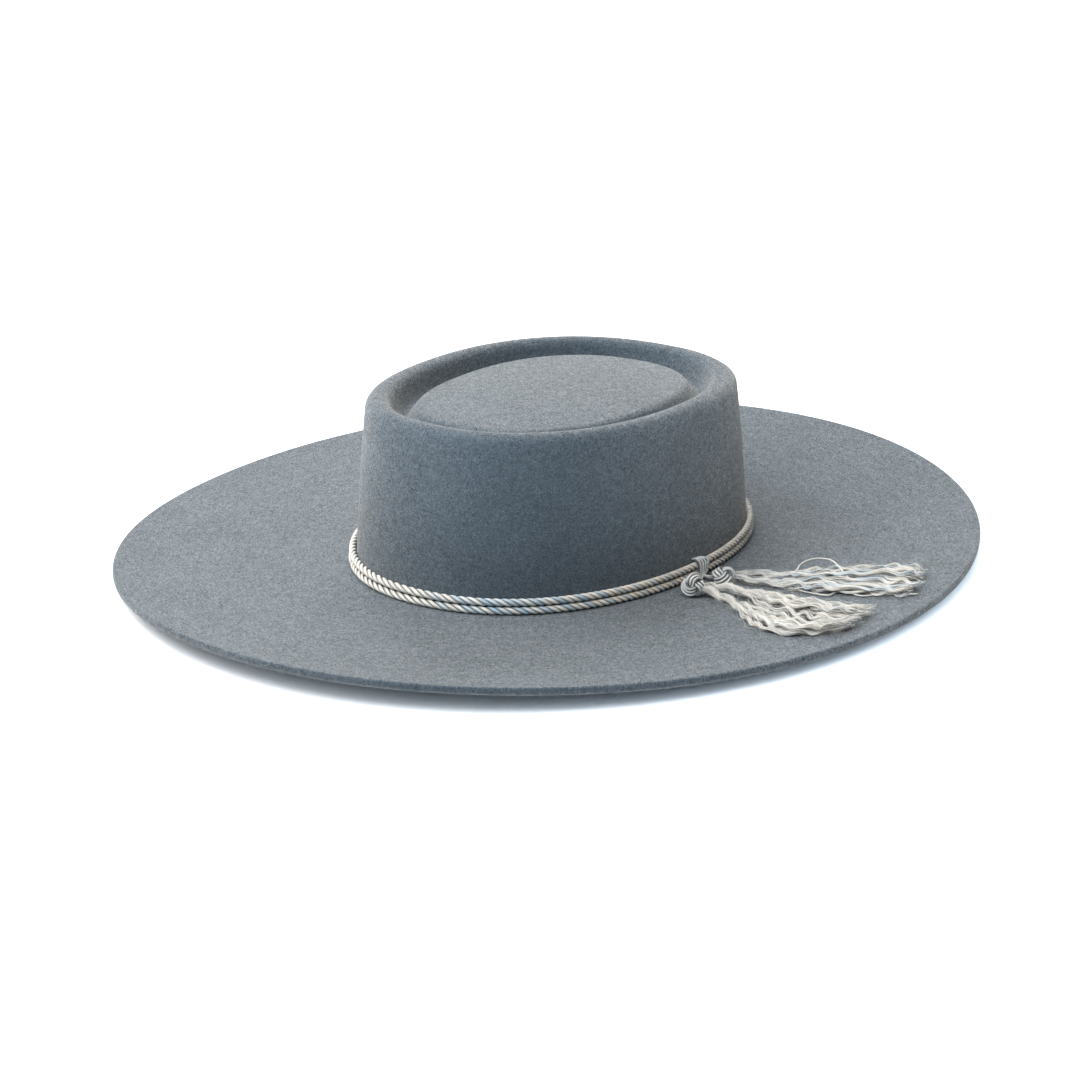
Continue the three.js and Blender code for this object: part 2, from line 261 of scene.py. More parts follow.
# how square the ovals are at the top, the crown's foot and the brim's edge: 2 is an ellipse
TIP_POWER, BASE_POWER, EDGE_POWER = 2.26, 2.13, 2.03
# the roll round the top, the channel inside it, and the raised tip
ROLL_WIDTH, ROLL_ROUND = 10.2, 6.1
CHANNEL_WIDTH, CHANNEL_DEPTH, CHANNEL_LEAN, CHANNEL_ROUND = 13.0, 15.0, 5.3, 3.2
SHOULDER_DROP, SHOULDER_ROUND, TIP_DROP = 4.4, 6.0, 2.1
# the brim, the flat land that it rests on, and its rise from there to the edge
BRIM_WIDTH, REST_LAND = 112.7, 14.0
EDGE_RISE, RISE_LEFT, RISE_FRONT, RISE_ENDS, RISE_CURVE = 6.3, 2.4, 0.9, 3.3, 1.4
# the cut edge: its rounding, and how far the raw felt swells below
CUT_ROUND, CUT_SWELL = 1.25, 0.7
# the cord, which the corner at the crown's foot is rounded to
CORD, TURN_GAP, CLEARANCE = 3.5, 0.2, 0.3

CROWN_TOP = FELT + CROWN_HEIGHT
SHOULDER_REACH = -(ROLL_WIDTH + CHANNEL_WIDTH)
EDGE_REACH = CROWN_FLARE + BRIM_WIDTH
print(f"overall {TIP_WIDTH + 2 * EDGE_REACH:.1f} x {TIP_LENGTH + 2 * EDGE_REACH:.1f} mm")

# %% [markdown]
# ## The felt's outline and lift
# From above, every ring of the hat is an oval. A superellipse gives it with two half-lengths and one
# power, so one function covers the round brim edge and the slightly squarer top. A point of the hat is
# then a place on the section, how far out and how high, swept round this oval. The crown leans a little,
# the brim rises unevenly to its edge, and slow waves of a third of a millimetre keep the hand-blocked
# felt from looking turned on a lathe.

# %% Outline and placed points
WAVE = 0.35
WAVES_ROUND = ((3, 1.1, 0.5), (5, 0.4, 0.3), (8, 2.2, 0.2))
WAVE_LEAN = 60.0
STILL_FOOT, STILL_TOP = 12.0, 10.0


def outline(reach, angle):
    """An oval reach mm outside the crown's top edge: half-lengths times cosine and sine, divided by the
    power sum that makes a superellipse. Within the tip it shrinks towards the middle."""
    base = share(reach, 0.0, CROWN_FLARE)
    edge = share(reach, CROWN_FLARE, EDGE_REACH)
    power = TIP_POWER + (BASE_POWER - TIP_POWER) * base + (EDGE_POWER - BASE_POWER) * edge
    shrink = share(reach, -TIP_WIDTH / 2, SHOULDER_REACH)
    grow = np.maximum(reach, SHOULDER_REACH)
    across, along = np.cos(angle), np.sin(angle)
    roundness = (np.abs(across) ** power + np.abs(along) ** power) ** (-1 / power)
    widen = 1 + CROWN_EGG * (1 - edge) * along
    x = (TIP_WIDTH / 2 + grow) * shrink * across * roundness * widen
    y = (TIP_LENGTH / 2 + grow) * shrink * along * roundness
    return x, y


def radius_at(reach, angle):
    """The distance from the hat's upright middle line to its oval."""
    return np.hypot(*outline(reach, angle))


def slow_waves(angle):
    """Unevenness round the hat, from -1 to 1: three sines, each with its count, phase and strength."""
    return sum(strength * np.sin(count * angle + phase) for count, phase, strength in WAVES_ROUND)


def felt_point(reach, height, angle):
    """A place of the section set in the hat: the oval at that reach, the height, the crown's lean in
    proportion to height and length, and the brim's rise as a power of the share of its width."""
    reach, height, angle = np.broadcast_arrays(reach, height, angle)
    on_crown = share(height, FELT + STILL_FOOT, CROWN_TOP - STILL_TOP)
    on_crown = on_crown * (1 - share(reach, CROWN_FLARE, CROWN_FLARE + 1)) * (reach > -1.0)
    x, y = outline(reach + WAVE * slow_waves(angle + height / WAVE_LEAN) * on_crown, angle)
    tilt = -CROWN_TILT * y / (TIP_LENGTH / 2) * share(height, FELT, CROWN_TOP)
    rise = EDGE_RISE + RISE_LEFT * np.cos(angle) - RISE_FRONT * np.sin(angle)
    rise = rise - RISE_ENDS * np.cos(2 * angle)
    out = share(reach, CROWN_FLARE + REST_LAND, EDGE_REACH)
    lift = rise * out**RISE_CURVE + WAVE * slow_waves(angle + 1.0) * eased(out)
    return np.stack([x, y, height + tilt + lift], axis=-1)


print(f"the brim's edge is {radius_at(EDGE_REACH, 0.0):.0f} mm out at the sides")

# %% [markdown]
# ## Surface finish of each material
# One helper adds a shader node with its settings and its links. Colours are written as the sRGB hex that
# a paint program shows, and are turned to linear light once, because shaders work in linear light.

# %% Node helper and colours
def add(tree, kind, inputs=None, **settings):
    """Adds a shader node, sets its properties, and gives each input a value, a link from a socket, or a
    link from another node's first output."""
    new = tree.nodes.new("ShaderNode" + kind)
    for name, value in settings.items():
        setattr(new, name, value)
    for name, value in (inputs or {}).items():
        if isinstance(value, bpy.types.Node):
            value = value.outputs[0]
        if isinstance(value, bpy.types.NodeSocket):
            tree.links.new(value, new.inputs[name])
        else:
            new.inputs[name].default_value = value
    return new


def linear(hex_colour):
    """An sRGB hex colour as linear red, green, blue and a full alpha."""
    channels = np.array([int(hex_colour[k:k + 2], 16) for k in (1, 3, 5)]) / 255
    low = channels / 12.92
    high = ((channels + 0.055) / 1.055) ** 2.4
    return (*np.where(channels <= 0.04045, low, high).tolist(), 1.0)


def new_material(name):
    """A material without nodes, and its tree."""
    material = bpy.data.materials.new(name)
    material.use_nodes = True
    material.node_tree.nodes.clear()
    return material, material.node_tree


print("middle grey in linear light:", round(linear("#808080")[0], 3))

# %% [markdown]
# ## Fur felt
# Hat felt is rabbit or hare fur, matted, dyed and pounced with fine paper in circles until its nap is
# short and velvety. To the eye that is a matt slate blue with a fine mottle, faint streaks that run round
# the hat, and a pale bloom wherever the nap is seen edge on. The bloom is the shader's sheen. The mottle
# is noise on the felt's own coordinates, in grains of about half a millimetre, which is coarser than the
# fur so that it shows. The nap lies brushed one way, so its grains are about twice as long as wide. A bump
# of half a millimetre gives it depth. The cut edge of the brim is painted a darker slate, as painted shade
# on that upright face.

# %% Fur felt material
NAP_GRAIN, NAP_CURL = 0.62 * MM, 1.2
NAP_BRUSHED, NAP_LENGTHENED = 33.0, 2.3
NAP_CLUMPS = 2.6 * MM
FELT_CLOUDS = 45 * MM
STREAK_ACROSS, STREAK_TURNS = 1.3 * MM, 7
GRAIN_TONE, CLUMP_TONE, CLOUD_TONE, STREAK_TONE = 0.9, 0.15, 0.07, 0.08
NAP_BUMP, STREAK_BUMP = 0.55 * MM, 0.35
NAP_BLOOM = 0.5
SLATE, SHADED_CUT_SLATE, BLOOM_WHITE = "#48555f", "#353f48", "#f5f1ea"


def fur_felt():
    """Slate blue fur felt. Colour is a base times grain, clumps, clouds and streaks, each a noise near 1.
    The streaks' noise reads the direction from the hat's middle and the distance along its section."""
    material, tree = new_material("fur felt, slate blue")
    place = add(tree, "TexCoord").outputs["Object"]
    brushed = add(tree, "Mapping", {"Vector": place, "Rotation": (0.0, 0.0, math.radians(NAP_BRUSHED)),
                                    "Scale": (1.0, NAP_LENGTHENED, 1.0)}, vector_type="TEXTURE")
    grain = add(tree, "TexNoise", {"Vector": brushed, "Scale": 1 / NAP_GRAIN, "Detail": 2.5,
                                   "Roughness": 0.7, "Distortion": NAP_CURL})
    clumps = add(tree, "TexNoise", {"Vector": brushed, "Scale": 1 / NAP_CLUMPS, "Detail": 2.0,
                                    "Roughness": 0.6})
    clouds = add(tree, "TexNoise", {"Vector": place, "Scale": 1 / FELT_CLOUDS, "Detail": 2.0})
    from_middle = add(tree, "VectorMath", {0: place, 1: (1.0, 1.0, 0.0)}, operation="MULTIPLY")
    from_middle = add(tree, "VectorMath", {0: from_middle}, operation="NORMALIZE")
    from_middle = add(tree, "VectorMath", {0: from_middle, "Scale": STREAK_TURNS}, operation="SCALE")
    run = add(tree, "Attribute", attribute_name="run").outputs["Fac"]
    run = add(tree, "Math", {0: run, 1: 1 / STREAK_ACROSS}, operation="MULTIPLY")
    run = add(tree, "CombineXYZ", {"Z": run})
    streak_place = add(tree, "VectorMath", {0: from_middle, 1: run}, operation="ADD")
    streaks = add(tree, "TexNoise", {"Vector": streak_place, "Scale": 1.0, "Detail": 2.0,
                                     "Roughness": 0.6})
    tone = None
    for noise, spread in ((grain, GRAIN_TONE), (clumps, CLUMP_TONE), (clouds, CLOUD_TONE),
                          (streaks, STREAK_TONE)):
        level = add(tree, "MapRange", {"Value": noise, "From Min": 0.25, "From Max": 0.75,
                                       "To Min": 1 - spread, "To Max": 1 + spread})
        tone = level if tone is None else add(tree, "Math", {0: tone, 1: level}, operation="MULTIPLY")
    cut = add(tree, "Attribute", attribute_name="cut_edge").outputs["Fac"]
    # The cut edge is painted a darker slate: painted shade on the brim's upright edge face.
    base = add(tree, "Mix", {0: cut, 6: linear(SLATE), 7: linear(SHADED_CUT_SLATE)}, data_type="RGBA")
    colour = add(tree, "VectorMath", {0: base.outputs[2], "Scale": tone.outputs[0]}, operation="SCALE")
    height = add(tree, "Math", {0: grain, 1: clumps}, operation="ADD")
    height = add(tree, "Math", {0: streaks, 1: STREAK_BUMP, 2: height}, operation="MULTIPLY_ADD")
    bump = add(tree, "Bump", {"Height": height, "Distance": NAP_BUMP, "Strength": 1.0})
    bloom = add(tree, "Math", {0: tone, 1: NAP_BLOOM}, operation="MULTIPLY")
    shader = add(tree, "BsdfPrincipled", {
        "Base Color": colour, "Normal": bump, "Roughness": 0.95, "Specular IOR Level": 0.15,
        "Sheen Weight": bloom, "Sheen Roughness": 0.45, "Sheen Tint": linear(BLOOM_WHITE)})
    add(tree, "OutputMaterial", {"Surface": shader})
    return material


felt_material = fur_felt()
print(felt_material.name, "has", len(felt_material.node_tree.nodes), "nodes")

# %% [markdown]
# ## The felt body
# The section is drawn once, as a hatter's profile gauge would take it: over the domed tip, down into the
# channel, up over the roll, down the wall and out along the brim, round the cut edge, and back underneath
# one felt thickness away. Its corners are a short table with the radius that rounds each one. Sweeping
# this closed line round the oval makes crown and brim in one piece, as the real felt is. The lower corner
# of the cut edge is set a little lower, because raw felt swells where it is cut.

# %% Section of the felt
DOME_ROWS, WALL_ROWS, BRIM_ROWS = 8, 8, 6


def felt_corners():
    """Corners (reach, height, radius) from the tip's middle to the brim's edge. The dome is a parabola and
    the wall a straight flare with a parabola's bulge on it."""
    dome = np.linspace(0.02, 0.92, DOME_ROWS)
    dome_reach = -TIP_WIDTH / 2 + (TIP_WIDTH / 2 + SHOULDER_REACH) * dome
    dome_height = CROWN_TOP - TIP_DROP - (SHOULDER_DROP - TIP_DROP) * dome**2
    wall = np.linspace(0.14, 0.9, WALL_ROWS)
    wall_reach = CROWN_FLARE * wall + 4 * WALL_BULGE * wall * (1 - wall)
    wall_height = CROWN_TOP - CROWN_HEIGHT * wall
    brim_reach = CROWN_FLARE + BRIM_WIDTH * np.linspace(0.1, 0.95, BRIM_ROWS)
    rows = [*zip(dome_reach, dome_height, np.zeros(DOME_ROWS))]
    rows += [(SHOULDER_REACH, CROWN_TOP - SHOULDER_DROP, SHOULDER_ROUND)]
    rows += [(-(ROLL_WIDTH + CHANNEL_LEAN), CROWN_TOP - CHANNEL_DEPTH, CHANNEL_ROUND)]
    rows += [(-ROLL_WIDTH, CROWN_TOP, ROLL_ROUND), (0.0, CROWN_TOP, ROLL_ROUND)]
    rows += [*zip(wall_reach, wall_height, np.zeros(WALL_ROWS))]
    rows += [(CROWN_FLARE, FELT, CORD / 2 + CLEARANCE)]
    rows += [*zip(brim_reach, np.full(BRIM_ROWS, FELT), np.zeros(BRIM_ROWS))]
    return np.array(rows + [(EDGE_REACH, FELT, 0.0)])


def one_felt_below(rows):
    """The same corners one thickness down: each moves along the mitre of its two stretches, and its
    radius grows in a hollow corner and shrinks on a bulging one."""
    place = rows[:, :2]
    step = unit(np.diff(place, axis=0))
    into = np.vstack([[1.0, 0.0], step])
    out = np.vstack([step, step[-1:]])
    left = np.array([[0.0, 1.0], [-1.0, 0.0]])
    mitre = (into @ left + out @ left) / (1 + np.einsum("ij,ij->i", into, out))[:, None]
    turn = into[:, 0] * out[:, 1] - into[:, 1] * out[:, 0]
    radius = np.where(rows[:, 2] == 0, 0.0, rows[:, 2] + np.where(turn < 0, -FELT, FELT))
    below = place - FELT * mitre
    below[0, 0] = place[0, 0]
    return np.column_stack([below, radius])


def rounded(rows, steps):
    """The corners as one line. A corner with a radius becomes an arc that starts one tangent length
    before it: the radius times the tangent of half the turn."""
    line = []
    for k, (reach, height, radius) in enumerate(rows):
        corner = np.array([reach, height])
        if radius == 0:
            line.append(corner[None])
            continue
        into, out = unit(corner - rows[k - 1, :2]), unit(rows[k + 1, :2] - corner)
        turn = math.atan2(into[0] * out[1] - into[1] * out[0], into @ out)
        side = np.array([-into[1], into[0]]) * math.copysign(1, turn)
        start = corner - into * radius * math.tan(abs(turn) / 2)
        swing = np.linspace(0, abs(turn), steps)[:, None]
        line.append(start + radius * (np.sin(swing) * into + (1 - np.cos(swing)) * side))
    return np.vstack(line)


def evenly_filled(line, spacing):
    """Extra points on each stretch of a line that is longer than the spacing."""
    stretch = np.diff(line, axis=0)
    steps = np.maximum(1, np.ceil(np.linalg.norm(stretch, axis=1) / spacing)).astype(int)
    number = np.concatenate([np.arange(n) for n in steps])[:, None]
    step = np.repeat(stretch / steps[:, None], steps, axis=0)
    return np.vstack([np.repeat(line[:-1], steps, axis=0) + step * number, line[-1:]])


ARC_POINTS, RING_SPACING, ROUND_HAT = 8, 1.9, 256
upper = felt_corners()
lower = one_felt_below(upper)[::-1]
upper[-1, 2] = CUT_ROUND
lower[0, 2] = CUT_ROUND
lower[0, 1] -= CUT_SWELL
section = evenly_filled(rounded(np.vstack([upper, lower]), ARC_POINTS), RING_SPACING)
print(f"felt section: {len(upper) + len(lower)} corners, {len(section)} rings of {ROUND_HAT} points")

# %% [markdown]
# Two values ride along with the rings. One is the distance run along the section, for the streaks of
# the pouncing, and one marks the cut edge of the brim, where the felt takes a painted shade.

# %% Felt body
turns = 2 * np.pi * np.arange(ROUND_HAT) / ROUND_HAT
felt_rings = felt_point(section[:, :1], section[:, 1:], turns)[None]
felt_run = lengths_along(section)[None]
cut_middle = (FELT - CUT_SWELL) / 2
from_cut = np.abs(section[:, 1] - cut_middle)
cut_edge = eased(1.0 - share(from_cut, FELT - cut_middle - CUT_ROUND, FELT - cut_middle))
cut_edge = np.where(section[:, 0] > EDGE_REACH - CUT_ROUND, cut_edge, 0.0)[None]
felt_values = {"run": felt_run * MM, "cut_edge": cut_edge}
felt_body = make_piece("fur_felt_body", [(felt_rings, felt_run, felt_values)], felt_material)
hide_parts("felt_body")
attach(felt_body, "root")
low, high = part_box("felt_body")
print("felt in the frame reaches", [round(v * 1000, 1) for v in (*low, *high)], "mm")

# %% [markdown]
# ## Rayon cord
# The band is three strands of shiny rayon yarn laid together with an S twist. The yarn was dyed in
# stretches, off-white, pale blue and beige, so its colour changes along the cord. Each strand shows fine
# yarns side by side. The eye reads silk: a soft gloss along each strand and dark seams between them,
# partly real shadow in the grooves and partly painted shade.
# Dye is an attribute that follows the cord, and the yarns are a noise drawn out along the strand's map,
# so some yarns keep their cream while their neighbours take the blue.

# %% Rayon material
YARN, KNOT_YARN, FINE_YARN = 0.5 * MM, 0.38 * MM, 0.25 * MM
YARN_STREAK = 16 * MM
YARN_BUMP = 0.25 * MM
# the painted shade at the bottom of the grooves, as a share of the yarn's colour
PAINTED_GROOVE_SHADE = 0.12
DYE_EDGE = 7.0
SKEINS_APART = 40.0
DYES = (("blue", "#8fb2c9"), ("beige", "#e2d4c0"))


def rayon(name, cream, lay, painted_yarn_shade, yarn=YARN, roughness=0.48):
    """Rayon yarns. The noise reads the map with its length drawn out and slanted by the lay, and picks the
    yarns that take each dye. The same noise paints shade into the grooves between yarns, and painted shade
    darkens the grooves between whole strands, where the crest attribute is near 0."""
    material, tree = new_material(name)
    lengths = add(tree, "SeparateXYZ", {0: add(tree, "UVMap", uv_map="lengths")})
    across = add(tree, "Math", {0: lengths.outputs["X"], 1: lay, 2: lengths.outputs["Y"]},
                 operation="MULTIPLY_ADD")
    skein = add(tree, "Attribute", attribute_name="skein").outputs["Fac"]
    place = add(tree, "CombineXYZ", {"X": lengths.outputs["X"], "Y": across, "Z": skein})
    place = add(tree, "VectorMath", {0: place, 1: (1 / YARN_STREAK, 1 / yarn, SKEINS_APART)},
                operation="MULTIPLY")
    yarns = add(tree, "TexNoise", {"Vector": place, "Scale": 1.0, "Detail": 2.0, "Roughness": 0.55})
    edge = add(tree, "Math", {0: yarns, 1: DYE_EDGE, 2: -DYE_EDGE / 2}, operation="MULTIPLY_ADD")
    colour = linear(cream)
    for dye, hex_colour in DYES:
        amount = add(tree, "Attribute", attribute_name=dye).outputs["Fac"]
        taken = add(tree, "Math", {0: edge, 1: amount}, operation="ADD", use_clamp=True)
        taken = add(tree, "Math", {0: taken, 1: amount}, operation="MULTIPLY")
        colour = add(tree, "Mix", {0: taken, 6: colour, 7: linear(hex_colour)}, data_type="RGBA").outputs[2]
    tone = add(tree, "MapRange", {"Value": yarns, "From Min": 0.32, "From Max": 0.55,
                                  "To Min": 1 - painted_yarn_shade, "To Max": 1.0})
    crest = add(tree, "Attribute", attribute_name="crest").outputs["Fac"]
    shade = add(tree, "MapRange", {"Value": crest, "To Min": PAINTED_GROOVE_SHADE, "To Max": 1.0})
    tone = add(tree, "Math", {0: tone, 1: shade}, operation="MULTIPLY")
    colour = add(tree, "VectorMath", {0: colour, "Scale": tone}, operation="SCALE")
    bump = add(tree, "Bump", {"Height": yarns, "Distance": YARN_BUMP, "Strength": 1.0})
    shader = add(tree, "BsdfPrincipled", {
        "Base Color": colour, "Normal": bump, "Roughness": roughness, "IOR": 1.52,
        "Sheen Weight": 0.25, "Sheen Roughness": 0.35})
    add(tree, "OutputMaterial", {"Surface": shader})
    return material


cord_material = rayon("rayon cord, laid", "#e4e1d8", lay=0.12, painted_yarn_shade=0.5)
# The knots and the binding take a whiter cream than the laid cord: painted light on the same yarn.
knot_material = rayon("rayon cord, drawn tight in knots", "#fafaf5", lay=0.12, painted_yarn_shade=0.65,
                      yarn=KNOT_YARN)
tassel_material = rayon("rayon yarn, combed out", "#dfdcd4", lay=0.05, painted_yarn_shade=0.4,
                        yarn=FINE_YARN, roughness=0.6)
print("materials:", [material.name for material in bpy.data.materials])

# %% [markdown]
# ## The cord round the crown
# The cord's middle line goes round once on the brim, climbs by its own thickness under the binding, and
# goes round again on top of the first turn. Three strands wind round that line. A rope could be one
# twisted profile, but three separate oval strands give true grooves, which hold the shadows that make a
# twist read. Each strand is an oval because its two neighbours press on it.

# %% Middle line of the cord
KNOT_ANGLE = math.radians(-2.4)
KNOT_SPAN = 8.0
TUCK = 2.5
FIRST_TURN = FELT + CLEARANCE + CORD / 2
TURN_PITCH = CORD + TURN_GAP
DENSE_STEPS = 6000


def wall_reach(height):
    """How far out the crown's wall stands near its foot."""
    return CROWN_FLARE + (WALL_BULGE - CROWN_FLARE / 2) * 2 * (height - FELT) / CROWN_HEIGHT


def cord_middle(angle, turn):
    """The cord's middle beside the wall, at the height of the first turn plus a part of the pitch."""
    height = FIRST_TURN + TURN_PITCH * turn
    return felt_point(wall_reach(height) + CLEARANCE + CORD / 2, height, angle)


knot_radius = radius_at(CROWN_FLARE, KNOT_ANGLE)
span_angle = KNOT_SPAN / knot_radius
tuck_angle = TUCK / knot_radius
wound = np.linspace(span_angle / 2 - tuck_angle, 4 * np.pi - span_angle / 2 + tuck_angle, DENSE_STEPS)
climb = eased(share(wound, 2 * np.pi - span_angle / 2, 2 * np.pi + span_angle / 2))
dense = cord_middle(KNOT_ANGLE + wound, climb)
walked = lengths_along(dense)
cord_length = float(walked[-1])
print(f"the cord's middle line round the crown is {cord_length:.0f} mm long")

# %% [markdown]
# The dye stretches are a short table: where round the hat, how blue and how beige. Angles are
# degrees from the wearer's left, counted towards the back.

# %% Dye along the cord
DYE_PLACES = (-180, -150, -98, -80, -62, -42, -28, -12, 10, 60, 95, 130, 155, 180)
BLUE_SHARE = (0.1, 0.0, 0.05, 0.5, 0.85, 0.7, 0.4, 0.35, 0.15, 0.1, 0.7, 0.8, 0.3, 0.1)
BEIGE_SHARE = (0.2, 0.05, 0.05, 0.1, 0.2, 0.4, 0.55, 0.6, 0.5, 0.35, 0.2, 0.1, 0.2, 0.2)


def degrees_round(angle):
    """An angle in radians as degrees from -180 to 180."""
    return (np.degrees(angle) + 180) % 360 - 180


def dye_at(angle):
    """Blue and beige shares at an angle round the hat, read between the table's places."""
    degrees = degrees_round(angle)
    return np.interp(degrees, DYE_PLACES, BLUE_SHARE), np.interp(degrees, DYE_PLACES, BEIGE_SHARE)


print("dye in front, blue and beige:", *np.round(dye_at(-np.pi / 2), 2))

# %% [markdown]
# For strands of radius r laid touching, the ring of their middles has the radius r divided by the sine
# of 60 degrees. That and the cord's diameter give r, and the photograph gives the lay: one full twist
# in 9 to 14 mm, tightest near the knot, where the cord was twisted up while it was tied. Where the dye is
# strong, one strand takes more blue than the others and another more beige, so the twist shows in colour.

# %% Three strands
LAY_PLACES = (-180, -95, -60, -30, 0, 40, 120, 180)
LAYS = (13.0, 13.5, 11.2, 9.4, 9.4, 10.5, 12.5, 13.0)
STRANDS, STRAND_SIDES, STRAND_STEP = 3, 12, 0.75
STRAND_RADIUS = CORD / 2 / (1 + 1 / math.sin(math.pi / STRANDS))
STRAND_RING = STRAND_RADIUS / math.sin(math.pi / STRANDS)
STRAND_PRESS = 1.02
CREST_REACH = 0.92
STRONG_DYE = 0.3
STRAND_BLUE = np.array([0.3, 0.0, -0.3])[:, None]
STRAND_BEIGE = np.array([-0.25, 0.3, 0.0])[:, None]

rows = int(cord_length / STRAND_STEP)
even = np.linspace(0, cord_length, rows)
angles = KNOT_ANGLE + np.interp(even, walked, wound)
middle = np.stack([np.interp(even, walked, dense[:, k]) for k in range(3)], axis=-1)
outward, level = frame_along(middle, UP)
twists = np.cumsum(np.gradient(even) / np.interp(degrees_round(angles), LAY_PLACES, LAYS))
strand_turn = 2 * np.pi * (np.arange(STRANDS)[:, None] / STRANDS - twists)
spoke = np.cos(strand_turn)[..., None] * outward + np.sin(strand_turn)[..., None] * level
strand_paths = middle + STRAND_RING * spoke
strand_width = np.full((STRANDS, rows), 2 * STRAND_RADIUS)
strand_rings = tube(strand_paths, strand_width * STRAND_PRESS, strand_width, STRAND_SIDES, spoke)
from_middle = np.linalg.norm(strand_rings - middle[None, :, None], axis=-1)
blue, beige = dye_at(angles)
cord_values = {
    # crest paints shade into the grooves: 0 where a strand faces the cord's middle, 1 on its outside
    "crest": eased(share(from_middle, STRAND_RING, STRAND_RING + CREST_REACH * STRAND_RADIUS)),
    "blue": np.clip(blue + STRAND_BLUE * (blue > STRONG_DYE), 0, 1),
    "beige": np.clip(beige + STRAND_BEIGE * (beige > STRONG_DYE), 0, 1),
    "skein": np.broadcast_to(np.arange(STRANDS)[:, None] / STRANDS, (STRANDS, rows)),
}
hat_cord = make_piece("three_strand_cord", [(strand_rings, lengths_along(strand_paths), cord_values)],
                      cord_material)
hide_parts("hat_cord")
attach(hat_cord, "root")
print(f"strand radius {STRAND_RADIUS:.2f} mm, {twists[-1]:.0f} twists")

# %% [markdown]
# ## Where the stopper knots lie
# Both the binding's legs and the tassels meet the two stopper knots, so their places come first. Each is
# set by an angle in degrees, a share of the brim's width and a height as a share of the knot's width. The
# front knot stands on its rim, facing outwards, and the rear one leans back and faces up.

# %% Places of the stopper knots
STOPPER = 10.6
STOPPERS = {
    "front": {"degrees": -15.5, "out": 0.155, "rise": 0.5, "facing": (0.55, -0.8, 0.25), "spin": 10.0},
    "rear": {"degrees": -5.7, "out": 0.158, "rise": 0.36, "facing": (0.2, -0.35, 0.92), "spin": 30.0},
}


def stopper_middle(name):
    """The middle of a stopper knot: its place on the brim, raised by its share of the knot's width."""
    knot = STOPPERS[name]
    return felt_point(CROWN_FLARE + knot["out"] * BRIM_WIDTH, FELT + knot["rise"] * STOPPER + CLEARANCE,
                      math.radians(knot["degrees"]))


for name in STOPPERS:
    print(f"{name} stopper knot's middle:", stopper_middle(name).round(1), "mm")

# %% [markdown]
# ## The binding and its two legs
# At the wearer's left the cord's ends are bound over both turns: four yarn bundles lie side by side,
# come over the upper turn, run down the outside and gather at the brim. Two go on to each stopper knot as
# a short leg. Each bundle is one oval strand along a smooth curve through a few places, and how far it
# starts, bellies and ends beside the knot's middle is a short table, so the four spread and gather.

# %% Binding and legs
BUNDLES, WRAP_ROWS, WRAP_SIDES = 4, 90, 16
WRAP_THICKNESS, LEG = 1.8, 2.8
BOUND_WIDTH, BOUND_HEIGHT, LEG_NARROWS, LEG_LOWERS = 1.32, 1.7, 0.2, 0.5
WRAP_OVER = np.radians([118, 88, 58, 28, 0])
# how far each bundle lies beside the knot's middle, in mm, and its share of blue
WRAP_START = (-4.7, -4.2, -3.7, -3.2)
WRAP_BELLY = (0.3, 1.3, 2.4, 3.5)
WRAP_FOOT = (-5.2, -4.7, -4.3, -3.9)
WRAP_BLUE = (0.6, 0.15, 0.5, 0.3)
LEG_ASIDE, LEG_STAGGER = 0.9, 0.5


def side_shade(shape, sides):
    """Painted shade for bundles laid side by side: 1 on the top and bottom of each ring and 0 at its two
    sides, where the neighbours touch: 1 less a power of the cosine round the ring."""
    beside = np.abs(np.cos(2 * np.pi * np.arange(sides) / sides))
    return np.broadcast_to(1 - beside**1.6, shape + (sides,))


upper_turn = FIRST_TURN + TURN_PITCH
bow = CORD / 2 + CLEARANCE + WRAP_THICKNESS / 2
over_reach = wall_reach(upper_turn) + CLEARANCE + CORD / 2 + bow * np.cos(WRAP_OVER)
down_reach = wall_reach(FIRST_TURN) + CLEARANCE + CORD / 2 + bow
wrap_reach = np.append(over_reach, [down_reach, down_reach + WRAP_THICKNESS / 2])
wrap_height = np.append(upper_turn + bow * np.sin(WRAP_OVER), [FIRST_TURN, FELT + CLEARANCE + LEG / 2])
wrap_part = np.linspace(0, 1, len(wrap_reach))

wrap_paths = []
for bundle in range(BUNDLES):
    straight = WRAP_START[bundle] + (WRAP_FOOT[bundle] - WRAP_START[bundle]) * wrap_part
    slip = straight + WRAP_BELLY[bundle] * np.sin(np.pi * wrap_part)
    places = felt_point(wrap_reach, wrap_height, KNOT_ANGLE + slip / knot_radius)
    goal = stopper_middle("front" if bundle < BUNDLES / 2 else "rear")
    aside = LEG_ASIDE if bundle % 2 else -LEG_ASIDE
    leg = places[-1] + (goal - places[-1]) * np.array([[0.45], [0.85]])
    leg = leg + np.array([0, aside / 2, aside / 3])
    leg[0, 2] = places[-1, 2] + LEG_STAGGER * (bundle % 2)
    wrap_paths.append(curve_at(np.vstack([places, leg]), np.linspace(0, 1, WRAP_ROWS)))
wrap_paths = np.array(wrap_paths)
wrap_out = unit(wrap_paths * np.array([1.0, 1.0, 0.0])) + 0.6 * UP
wrap_shape = wrap_paths.shape[:2]
leg_part = np.broadcast_to(share(np.linspace(0, 1, WRAP_ROWS), 0.62, 0.85), wrap_shape)
wrap_rings = tube(wrap_paths, BOUND_WIDTH - LEG_NARROWS * leg_part, BOUND_HEIGHT - LEG_LOWERS * leg_part,
                  WRAP_SIDES, wrap_out)
wrap_values = {
    # crest: painted shade at the sides where the bundles touch
    "crest": side_shade(wrap_shape, WRAP_SIDES),
    "blue": np.broadcast_to(np.array(WRAP_BLUE)[:, None], wrap_shape),
    "beige": np.full(wrap_shape, 0.12),
    "skein": np.broadcast_to(0.4 + np.arange(BUNDLES)[:, None] / 7, wrap_shape),
}
